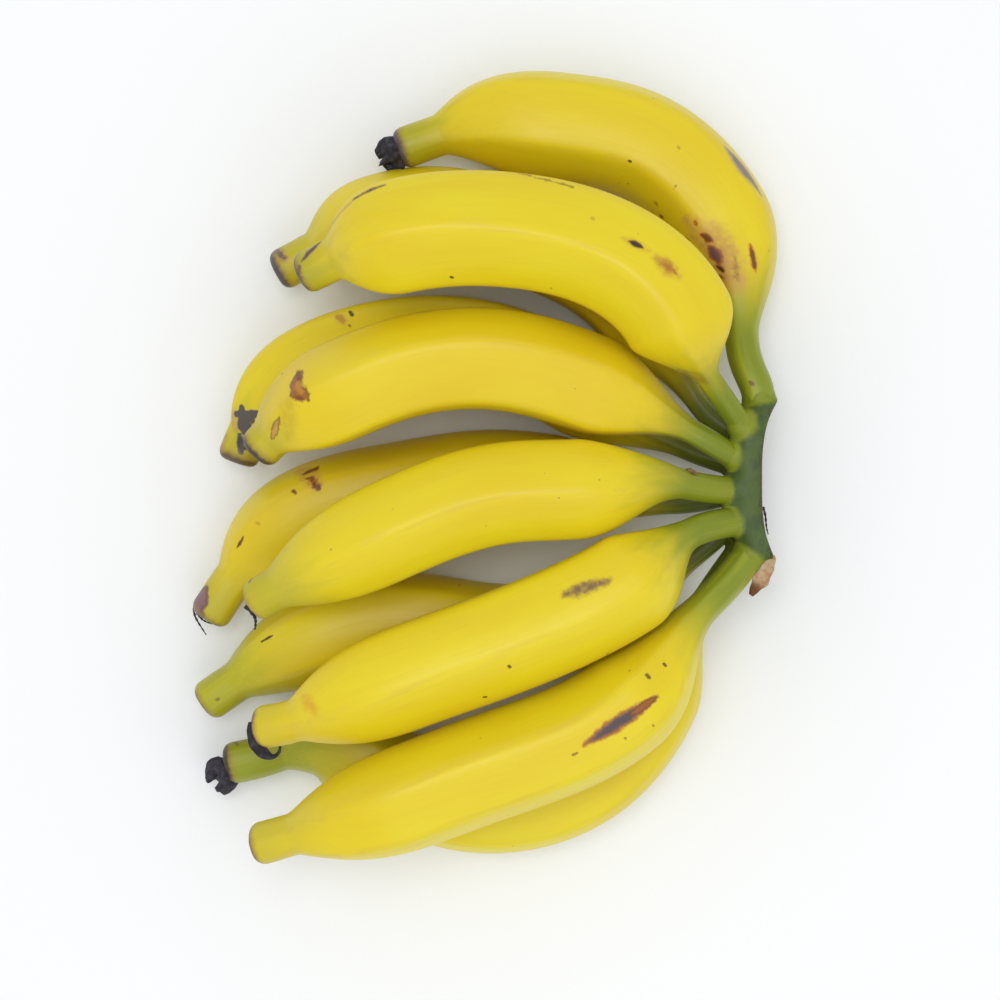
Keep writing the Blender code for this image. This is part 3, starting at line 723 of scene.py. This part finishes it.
def peel(finger, look, tree, seed):
    """Ripe banana skin: green neck, yellow body, olive tip, dark dry end, with the marks the photo shows."""
    paint = Paint("peel_" + finger.name)
    place = paint.attribute("place", "Vector")
    straight = paint.vector("ADD", paint.attribute("straight", "Vector"), (0.0, 40.0 * seed, 0.0))
    along = paint.node("SeparateXYZ", {0: paint.attribute("straight", "Vector")}).outputs[0]
    ridge = paint.attribute("ridge")
    from_end = paint.attribute("from_end")

    fibres = paint.noise(straight, 1.1, 3.0, (0.045, 1.0, 1.0))
    broad_streaks = paint.noise(straight, 0.22, 2.0, (0.12, 1.0, 1.0))
    mottle = paint.noise(straight, 0.05, 2.0, (0.35, 1.0, 1.0))
    blotches = paint.noise(straight, 0.12, 3.0, (0.4, 1.0, 1.0))
    fine = paint.noise(place, 1.5, 4.0)

    tone = paint.math("ADD", paint.ramp(mottle, 0.2, 0.8, 0.35, 1.05), -look.deep, clamp=True)
    colour = paint.mix(tone, DEEP, BRIGHT)
    for grain, low, high, share, laid in (
        (broad_streaks, 0.48, 0.75, 0.20, DEEP),
        (fibres, 0.52, 0.75, 0.16, FIBRE),
        (blotches, 0.50, 0.85, 0.22, PALE),
    ):
        colour = paint.mix(paint.ramp(grain, low, high, 0.0, share), colour, laid)

    rubbed = paint.noise(straight, 0.5, 3.0, (0.12, 1, 1))
    worn = paint.math("MULTIPLY", ridge, paint.ramp(rubbed, 0.42, 0.66))
    colour = paint.mix(paint.math("MULTIPLY", worn, 0.26), colour, WORN)

    shifted = paint.math("ADD", along, paint.centred(broad_streaks, 16.0))
    shifted = paint.math("SUBTRACT", shifted, paint.math("MULTIPLY", ridge, 2.5))
    neck = paint.mix(paint.ramp(broad_streaks, 0.34, 0.66, 0.0, 0.6), look.neck, NECK_DARK)
    neck = paint.mix(paint.ramp(fibres, 0.5, 0.72, 0.0, 0.22), neck, NECK_FIBRE)
    colour = paint.mix(paint.ramp(shifted, look.green[0] - 6, look.green[1] + 2, 1.0, 0.0), colour, neck)

    drawn = paint.math("ADD", from_end, paint.centred(broad_streaks, 14.0))
    tip = paint.mix(paint.ramp(fibres, 0.45, 0.7, 0.0, 0.25), look.tip, TIP_FIBRE)
    near_tip = paint.ramp(drawn, look.tip_reach[0] - 3, look.tip_reach[1], look.tip_strength, 0.0)
    colour = paint.mix(near_tip, colour, tip)

    specks = paint.node("TexVoronoi", {"Vector": straight, "Scale": 0.26, "Randomness": 1.0}, feature="F1")
    chosen = paint.node("SeparateColor", {0: specks.outputs["Color"]}).outputs[0]
    size = paint.ramp(chosen, 0.92, 1.0, 0.0, 0.13)
    speck = paint.ramp(paint.math("SUBTRACT", specks.outputs["Distance"], size), -0.02, 0.03, 0.6, 0.0)
    speck = paint.math("MULTIPLY", speck, paint.math("GREATER_THAN", chosen, 0.92))
    colour = paint.mix(speck, colour, SPECK)

    uneven = paint.centred(paint.noise(place, 0.55, 2.5), 2.4)
    mottled = paint.ramp(paint.noise(place, 0.45, 3.0), 0.34, 0.62, 0.6, 1.0)
    for mark in (Mark(*row) for row in MARKS[finger.name]):
        lines = [(on_skin(tree, mark.start), on_skin(tree, mark.end), mark.width)]
        lines += [(on_skin(tree, start), on_skin(tree, end), width) for start, end, width in mark.more]
        colour = paint.marked(colour, place, uneven, mottled, mark, lines)

    rim = paint.add_share(from_end, uneven, 0.7)
    colour = paint.mix(paint.ramp(rim, look.scar - 0.4, look.scar + 2.0, 0.6, 0.0), colour, HALO)
    colour = paint.mix(paint.ramp(rim, look.scar - 1.3, look.scar + 0.5, 0.95, 0.0), colour, look.scar_colour)
    dead = paint.ramp(from_end, -0.4, 0.05, 1.0, 0.0)
    colour = paint.mix(dead, colour, paint.mix(fine, BLACK_BROWN, SCAR))

    roughness = paint.add_share(paint.ramp(fibres, 0.3, 0.7, 0.38, 0.46), dead, 0.4)
    height = paint.add_share(paint.math("MULTIPLY", fibres, 0.5), fine, 0.35)
    height = paint.add_share(height, paint.math("MULTIPLY", dead, fine), 6.0)
    paint.shader.inputs["Coat Weight"].default_value = 0.08
    paint.shader.inputs["Coat Roughness"].default_value = 0.30
    return paint.finish(colour, roughness, height, 0.3, 0.00016, 0.36)


# The crown

CROWN_HALF = 23.6  # half of its length
CROWN_BOW = 4.6
CROWN_BEND = 3.2
CROWN_THICK = 5.6  # from its middle line to the side that the necks leave
CROWN_DEPTH = 13.0
CUT_FROM_MIDDLE = 3.8  # the cut face lies this far to the right of the middle line
ROOT_BEHIND_CUT = 0.6  # the roots of the fruit end this far behind the cut face
STUB_LENGTH = 12.0  # how much of each neck the crown's own skin covers
ROOT_SWELL = {"finger_upper_2": 1.1, "finger_upper_3": 0.4, "finger_upper_4": 0.5, "finger_upper_5": 0.3}
NECK_BORDERS = {"finger_upper_4": -2.6, "finger_upper_5": -0.6, "finger_upper_3": 0.5, "finger_upper_2": 0.6}
NECK_BLEND = 3.0  # how far the crease between crown and neck is filled
CUT_BLEND = 0.9  # how far the rim of the cut face is rounded
VOXEL = 0.55  # of the rough union that the crown starts from


def smooth_min(a, b, blend):
    """The nearer of two surfaces, with the crease between them filled."""
    h = np.clip(0.5 + 0.5 * (b - a) / blend, 0.0, 1.0)
    return b * (1.0 - h) + a * h - blend * h * (1.0 - h)


def crown_distance(points):
    """How far points, measured from the crown's middle, lie outside the crown without its necks."""
    t = points[:, 1] / CROWN_HALF
    x = points[:, 0] - CROWN_BOW * np.abs(t) ** CROWN_BEND
    z = points[:, 2] - CROWN_HEIGHT
    narrowing = 1.0 - 0.36 * np.clip(np.abs(t), 0, 1.2) ** 3
    wide = np.where(x < 0.0, CROWN_THICK * narrowing, 8.5)
    deep = CROWN_DEPTH * narrowing
    q = ((np.abs(x) / wide) ** 2.5 + (np.abs(z) / deep) ** 2.5) ** (1.0 / 2.5)
    bar = np.hypot(x, z) * (1.0 - 1.0 / np.maximum(q, 1e-3))
    ends = np.abs(points[:, 1]) - CROWN_HALF
    cut = x - CUT_FROM_MIDDLE - 0.4 * np.clip(np.abs(t), 0, 1.1) ** 4
    body = -smooth_min(-bar, -ends, 5.0)
    return -smooth_min(-body, -cut, CUT_BLEND), cut


def stub_of(finger, route):
    """The middle line and radii of the part of a neck that the crown's skin covers."""
    points, along = spine_of(route)
    stations = np.arange(0.0, STUB_LENGTH, 0.9)
    centres, _, _, _ = frames_along(points, along, stations)
    radii = radius_along(finger, stations, along[-1])
    radii -= 0.8 * smoothstep((stations - STUB_LENGTH + 6.0) / 6.0)
    radii += ROOT_SWELL.get(finger.name, 0.0) * (1.0 - smoothstep((stations - 5.0) / 6.0))
    return centres, radii


def crown_field(points, stubs):
    """How far points lie outside the crown with its necks, and for the material: outside the crown alone,
    outside the nearest neck, which neck that is, and how deep behind the cut face."""
    bare, cut = crown_distance(points)
    whole = bare
    necks = []
    for centres, radii in stubs:
        away = (np.linalg.norm(points[:, None] - centres[None], axis=2) - radii[None]).min(axis=1)
        necks.append(away)
        whole = smooth_min(whole, away, NECK_BLEND)
    whole = -smooth_min(-whole, -cut, CUT_BLEND)
    necks = np.array(necks)
    return whole, bare, necks.min(axis=0), necks.argmin(axis=0), cut


def across_line(line):
    """The level direction across a line at each of its points, and the upward one."""
    tangent = np.gradient(line, axis=0)
    tangent /= np.linalg.norm(tangent, axis=1)[:, None]
    sideways = np.cross(tangent, [0.0, 0.0, 1.0])
    sideways /= np.linalg.norm(sideways, axis=1)[:, None]
    return sideways, np.cross(sideways, tangent)


def rough_tube(centres, radii, sides=20):
    """Points and faces of a plain closed tube."""
    sideways, upward = across_line(centres)
    angle = np.arange(sides) * math.tau / sides
    around = np.cos(angle)[None, :, None] * upward[:, None] + np.sin(angle)[None, :, None] * sideways[:, None]
    rings = centres[:, None] + radii[:, None, None] * around
    points = np.concatenate([rings.reshape(-1, 3), centres[-1:]])
    return points, ring_faces(len(centres), sides)


def crown_piece(routes, material):
    """The crown and the roots of its necks as one skin: a rough union, drawn onto the exact form."""
    stubs = [stub_of(finger, route) for finger, route in zip(FINGERS, routes)]
    line = np.linspace(-1.0, 1.0, 25)
    bowed = CROWN_BOW * np.abs(line) ** CROWN_BEND
    spine = np.stack([bowed, line * (CROWN_HALF - 4.0), np.full_like(line, CROWN_HEIGHT)], axis=1)
    lumps = [(spine + np.array([0.0, 0.0, z]), np.full(len(line), 4.4)) for z in (-7.0, -2.5, 2.5, 7.0)]
    points, faces = [], []
    for centres, radii in lumps + stubs:
        tube, skin = rough_tube(centres, radii)
        start = sum(len(part) for part in points)
        faces.extend(tuple(index + start for index in face) for face in skin)
        points.append(tube)
    rough = mesh_object("crown_rough", np.concatenate(points), faces, material)
    remesh = rough.modifiers.new("join", "REMESH")
    remesh.mode = "VOXEL"
    remesh.voxel_size = VOXEL * MM
    joined = rough.evaluated_get(bpy.context.evaluated_depsgraph_get()).to_mesh()
    skin = np.empty(len(joined.vertices) * 3, np.float32)
    joined.vertices.foreach_get("co", skin)
    skin = skin.reshape(-1, 3).astype(float) / MM
    faces = [tuple(face.vertices) for face in joined.polygons]
    bpy.data.objects.remove(rough)

    reach = 0.2
    for _ in range(7):
        outside = crown_field(skin, stubs)[0]
        beyond = [crown_field(skin + reach * axis, stubs)[0] - outside for axis in np.eye(3)]
        slope = np.stack(beyond, axis=1) / reach
        steep = (slope**2).sum(axis=1)[:, None]
        skin = skin - np.clip(outside[:, None] * slope / np.maximum(steep, 0.05), -1.5, 1.5)
    _, bare, neck, which, cut = crown_field(skin, stubs)
    facing = slope[:, 0] / np.sqrt(np.maximum(steep[:, 0], 1e-6))
    cut_face = smoothstep((facing - 0.5) / 0.35) * smoothstep((cut + 0.7) / 0.5)
    return skin, faces, bare, neck, which, cut_face


def crown_material():
    """Dark green stem with lighter roots of the necks, and a dry brown cut face."""
    paint = Paint("crown_stem")
    place = paint.attribute("place", "Vector")
    fibres = paint.noise(place, 0.9, 3.0, (1.0, 0.25, 0.25))
    mottle = paint.noise(place, 0.22, 3.0)
    fine = paint.noise(place, 1.6, 4.0)
    uneven = paint.centred(paint.noise(place, 0.7, 3.0), 1.0)

    stem = paint.mix(paint.ramp(mottle, 0.36, 0.64), CROWN_DARK, CROWN_MID)
    stem = paint.mix(paint.ramp(fibres, 0.5, 0.75, 0.0, 0.25), stem, CROWN_STREAK)
    neck = paint.mix(paint.ramp(mottle, 0.36, 0.66, 0.0, 0.5), NECK_LIGHT, NECK_DARK)
    neck = paint.mix(paint.attribute("shaded"), neck, NECK_SHADED)
    share = paint.math("ADD", paint.attribute("stem_less_neck"), uneven)
    colour = paint.mix(paint.ramp(share, -1.1, 1.3), stem, neck)

    cut = paint.add_share(paint.attribute("cut_face"), uneven, 0.12)
    dry = paint.mix(paint.ramp(fine, 0.4, 0.7), CUT_PALE, CUT_DARK)
    dry = paint.mix(paint.ramp(mottle, 0.5, 0.7, 0.0, 0.6), dry, CUT_GREENISH)
    colour = paint.mix(paint.ramp(cut, 0.15, 0.5, 0.0, 0.8), colour, CUT_RIM)
    colour = paint.mix(paint.ramp(cut, 0.5, 0.85), colour, dry)

    height = paint.add_share(paint.math("MULTIPLY", fibres, 0.6), fine, 0.5)
    return paint.finish(colour, paint.ramp(mottle, 0.3, 0.7, 0.42, 0.58), height, 0.5, 0.0003, 0.4)


def add_crown(routes):
    material = crown_material()
    skin, faces, bare, neck, which, cut_face = crown_piece(routes, material)
    placed = inside_box(skin + CROWN_PLACE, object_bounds())
    piece = mesh_object("crown_stem", placed, faces, material)
    border = np.array([NECK_BORDERS.get(finger.name, 0.0) for finger in FINGERS])
    write_attribute(piece.data, "stem_less_neck", bare - neck + border[which])
    write_attribute(piece.data, "cut_face", cut_face)
    lower = np.array([finger.rests and finger.name != "finger_upper_1" for finger in FINGERS])
    write_attribute(piece.data, "shaded", lower[which].astype(float))
    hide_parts("crown")
    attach(piece, "root")


def add_fingers(routes):
    for seed, (finger, route) in enumerate(zip(FINGERS, routes)):
        look = LOOKS[finger.name]
        rings, facts = skin_of(finger, look, route, seed)
        skin = rings.reshape(-1, 3).copy()
        skin[:, 0] -= np.maximum(crown_distance(skin)[1] + ROOT_BEHIND_CUT, 0.0)
        points = inside_box(skin + CROWN_PLACE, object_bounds())
        centre = points[-SKIN_SIDES:].mean(axis=0, keepdims=True)
        points = np.concatenate([points, centre])
        faces = ring_faces(len(rings), SKIN_SIDES)
        tree = BVHTree.FromPolygons((points * MM).tolist(), faces)
        material = peel(finger, look, tree, seed)
        piece = mesh_object(finger.name.replace("finger", "banana"), points, faces, material)
        for name, values in facts.items():
            flat = values.reshape(-1, values.shape[-1]) if name == "straight" else values.reshape(-1)
            write_attribute(piece.data, name, np.concatenate([flat, flat[-1:]]))
        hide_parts(finger.name)
        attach(piece, "root")


# Dried remains of the flowers, and threads and a torn strip of the stem

def at_height(pixel, height):
    """The point that the camera sees at a pixel and a height, in millimetres from the crown's middle."""
    origin, direction = photo_ray(pixel)
    seen = origin + direction * ((height * MM - origin.z) / direction.z)
    return np.array(seen) / MM - CROWN_PLACE


def drawn_line(path, count):
    """Even points on a smooth curve through a few pixels of the photograph, each with its height."""
    knots = np.array([at_height(pixel, height) for pixel, height in path])
    at = chord_knots(knots)
    return spline_basis(at, np.linspace(0.0, at[-1], count)) @ knots


def torn_end(centre, axis, radius, length, seed):
    """A dried flower end: a crumpled cup whose rim breaks into uneven points."""
    chance = np.random.default_rng(seed)
    a, b, c, d, e, f = chance.uniform(0.0, math.tau, 6)
    axis = np.array(axis) / np.linalg.norm(axis)
    sideways = np.cross(axis, [0.0, 0.0, 1.0])
    sideways /= np.linalg.norm(sideways)
    upward = np.cross(sideways, axis)
    angles = np.arange(TORN_SIDES) * math.tau / TORN_SIDES
    teeth = 0.45 * np.sin(2 * angles + a) + 0.3 * np.sin(5 * angles + b) + 0.25 * np.sin(9 * angles + c)
    teeth = 0.56 + 0.44 * teeth
    out = np.linspace(0.0, 1.0, 14)
    walls = [(t, 0.86 + 0.24 * math.sin(math.pi * t) - 0.22 * t) for t in out]
    walls += [(t, 0.86 + 0.24 * math.sin(math.pi * t) - 0.22 * t - 0.22) for t in out[:4:-1]]
    rings = []
    for t, reach in walls:
        folds = 0.13 * np.sin(4 * angles + d + 2.5 * t) + 0.10 * np.sin(7 * angles + e - 3.0 * t)
        folds = folds + 0.06 * np.sin(13 * angles + f + 6.0 * t)
        around = radius * (reach + folds * (0.3 + t))
        lean = np.array([0.0, 0.0, -0.35]) * length * t * t
        rings.append(
            centre + axis * (length * t * (0.35 + 0.65 * teeth))[:, None] + lean
            + around[:, None] * (np.cos(angles)[:, None] * upward + np.sin(angles)[:, None] * sideways)
        )
    points = np.concatenate([np.concatenate(rings), rings[-1].mean(axis=0, keepdims=True)])
    return points, ring_faces(len(rings), TORN_SIDES)


def flat_strip(line, half_widths, thickness, twist=0.0):
    """A thin strip along a line, with a wavy edge, whose ends narrow."""
    sideways, upward = across_line(line)
    t = np.linspace(0.0, 1.0, len(line))
    narrow = np.clip(np.sin(math.pi * np.clip(0.12 + 0.8 * t, 0, 1)), 0.2, 1.0) ** 0.5
    half_width = np.interp(t, np.linspace(0.0, 1.0, len(half_widths)), half_widths)
    edge = half_width * narrow * (1.0 + 0.13 * np.sin(11.0 * t + 1.0) + 0.08 * np.sin(23.0 * t))
    angle = np.arange(STRIP_SIDES) * math.tau / STRIP_SIDES
    turned = twist * t[:, None]
    x = np.cos(angle)[None] * edge[:, None]
    z = np.sin(angle)[None] * thickness * (1.0 + 0.3 * np.sin(17.0 * t))[:, None]
    z = z + 0.25 * (x / half_width[:, None]) ** 2
    across = x * np.cos(turned) - z * np.sin(turned)
    above = x * np.sin(turned) + z * np.cos(turned)
    rings = line[:, None] + across[..., None] * sideways[:, None] + above[..., None] * upward[:, None]
    points = np.concatenate([rings.reshape(-1, 3), line[-1:]])
    return points, ring_faces(len(line), STRIP_SIDES)


def dried_material(name, dark, pale, darker, end_dark=None):
    """Dry, fibrous remains, dull and uneven, and darker toward the place end_dark if that is given."""
    paint = Paint(name)
    place = paint.attribute("place", "Vector")
    grain = paint.noise(place, 0.5, 3.0)
    fibres = paint.noise(place, 1.2, 3.0, (0.3, 1.0, 1.0))
    colour = paint.mix(paint.ramp(grain, 0.36, 0.70), dark, pale)
    colour = paint.mix(paint.ramp(fibres, 0.5, 0.75, 0.0, 0.5), colour, darker)
    if end_dark is not None:
        away = paint.vector("LENGTH", paint.vector("SUBTRACT", place, tuple(end_dark)))
        colour = paint.mix(paint.ramp(away, 2.6, 6.0, 0.95, 0.0), colour, BROWN)
    height = paint.add_share(paint.math("MULTIPLY", grain, 0.6), fibres, 0.5)
    return paint.finish(colour, paint.ramp(grain, 0.3, 0.7, 0.7, 0.9), height, 0.6, 0.0004, 0.3)


def add_small(name, points, faces, material, slot):
    piece = mesh_object(name, inside_box(points + CROWN_PLACE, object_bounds()), faces, material)
    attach(piece, "root")


def end_of(route):
    """The tip of a finger and the direction in which it points."""
    points, _ = spine_of(route)
    axis = points[-1] - points[-6]
    return points[-1], axis / np.linalg.norm(axis)


def add_remains(routes):
    ends = {finger.name: end_of(route) for finger, route in zip(FINGERS, routes)}
    dark = dried_material("dried_flower", DRIED_DARK, DRIED_PALE, DRIED_DARK)
    thread = dried_material("dried_thread", DRIED_DARK, SLATE, DRIED_DARK)

    tip, axis = ends["finger_upper_1"]
    torn = torn_end(tip - axis * 1.2, axis + np.array([0.0, -0.15, 0.0]), 4.9, 8.8, 11)
    add_small("flower_upper_1", *torn, dark, "skin")
    tip, axis = ends["finger_lower_5"]
    root = tip - axis * 1.2 + np.array([0.0, -1.0, 0.0])
    torn = torn_end(root, axis + np.array([0.1, -0.75, 0.0]), 5.2, 9.5, 23)
    add_small("flower_lower_5", *torn, dark, "skin")

    hooked = drawn_line((
        ((250, 722), 42.0), ((251.5, 735), 42.2), ((256.5, 746.5), 41.0), ((265, 754), 39.5),
        ((274, 756.5), 38.6), ((279.5, 751), 38.2), ((280, 744), 38.0),
    ), 48)
    strip = flat_strip(hooked, (0.7, 1.5, 1.9, 1.8, 1.2, 0.7, 0.6), 0.5, 0.4)
    add_small("flower_upper_5", *strip, dark, "skin")

    threads = {
        "thread_lower_3": (
            [((192.7, 608), 13.0), ((195, 616), 11.0), ((200.5, 626), 8.5), ((206, 634.5), 7.0)], 0.34),
        "thread_lower_3_short": ([((197, 613), 12.0), ((203, 620), 10.0), ((212, 624), 9.0)], 0.3),
        "thread_upper_4": (
            [((245, 606), 42.4), ((252, 613), 42.0), ((255.5, 620), 38.5), ((255, 629), 34.0)], 0.5),
        "crown_thread": (
            [((763, 507), 33.0), ((765.2, 515), 33.5), ((766.2, 525), 33.0), ((768, 534), 31.0)], 0.34),
    }
    for name, (path, radius) in threads.items():
        line = drawn_line(path, 26)
        radii = radius * np.linspace(1.2, 0.5, 26) * (1.0 + 0.25 * np.sin(np.arange(26) * 1.3))
        add_small(name, *rough_tube(line, radii, 10), thread, "skin")

    line = drawn_line((
        ((772, 555), 32.0), ((768.5, 566), 34.0), ((762, 578), 34.0), ((754.5, 589), 33.0),
        ((751, 595), 32.0),
    ), 36)
    strip = dried_material("dried_strip", STRIP_PALE, PINK_BROWN, RUST, line[-1] + CROWN_PLACE)
    add_small("crown_strip", *flat_strip(line, (1.4, 2.1, 2.3, 2.2, 1.8), 0.34, -0.3), strip, "stem")

    line = drawn_line((((685.5, 469.5), 45.0), ((691.5, 471.5), 44.8), ((698, 474.5), 44.4)), 14)
    radii = np.array([0.25, 0.45, 0.6, 0.75, 0.85, 0.8, 0.7, 0.75, 0.8, 0.75, 0.6, 0.5, 0.4, 0.25])
    stub = dried_material("dried_stub", SCAR, HALO, BLACK_BROWN)
    add_small("dried_stub_upper_4", *rough_tube(line, radii, 14), stub, "stem")


# The studio

WORLD_STRENGTH = 0.80
LIGHTS = (  # name, place and size in metres, and power in watts
    ("key", (-0.10, 0.14, 1.30), 0.5, 3.9),
    ("fill", (0.3, -0.6, 1.0), 0.9, 1.9),
)


def add_floor():
    bpy.ops.mesh.primitive_plane_add(size=4.0, location=(0.0, 0.0, -0.0001))
    floor = bpy.context.object
    floor.name = "floor"
    paint = Paint("floor_paint")
    paint.shader.inputs["Base Color"].default_value = (0.88, 0.90, 0.92, 1.0)
    paint.shader.inputs["Roughness"].default_value = 0.6
    floor.data.materials.append(paint.material)


def add_light(name, place, target, size, power):
    data = bpy.data.lights.new(name, "AREA")
    data.size = size
    data.energy = power
    light = bpy.data.objects.new(name, data)
    light.location = place
    light.rotation_euler = (Vector(target) - Vector(place)).to_track_quat("-Z", "Y").to_euler()
    bpy.context.scene.collection.objects.link(light)


def add_camera():
    data = bpy.data.cameras.new("camera")
    data.sensor_width = SENSOR
    data.lens = FOCAL_PIXELS * SENSOR / FRAME_PIXELS
    data.clip_start = 0.01
    camera = bpy.data.objects.new("camera", data)
    camera.location = Vector(CAMERA_PLACE) * MM
    bpy.context.scene.collection.objects.link(camera)
    bpy.context.scene.camera = camera


def light_the_studio():
    scene = bpy.context.scene
    scene.view_settings.view_transform = "Standard"
    world = bpy.data.worlds.new("studio")
    world.use_nodes = True
    world.node_tree.nodes["Background"].inputs["Color"].default_value = (1.0, 1.0, 1.0, 1.0)
    world.node_tree.nodes["Background"].inputs["Strength"].default_value = WORLD_STRENGTH
    scene.world = world
    for name, place, size, power in LIGHTS:
        add_light(name, place, (0.0, 0.0, 0.0), size, power)


def main():
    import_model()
    routes = settle(FINGERS)
    add_fingers(routes)
    add_crown(routes)
    add_remains(routes)
    add_floor()
    add_camera()
    light_the_studio()


main()
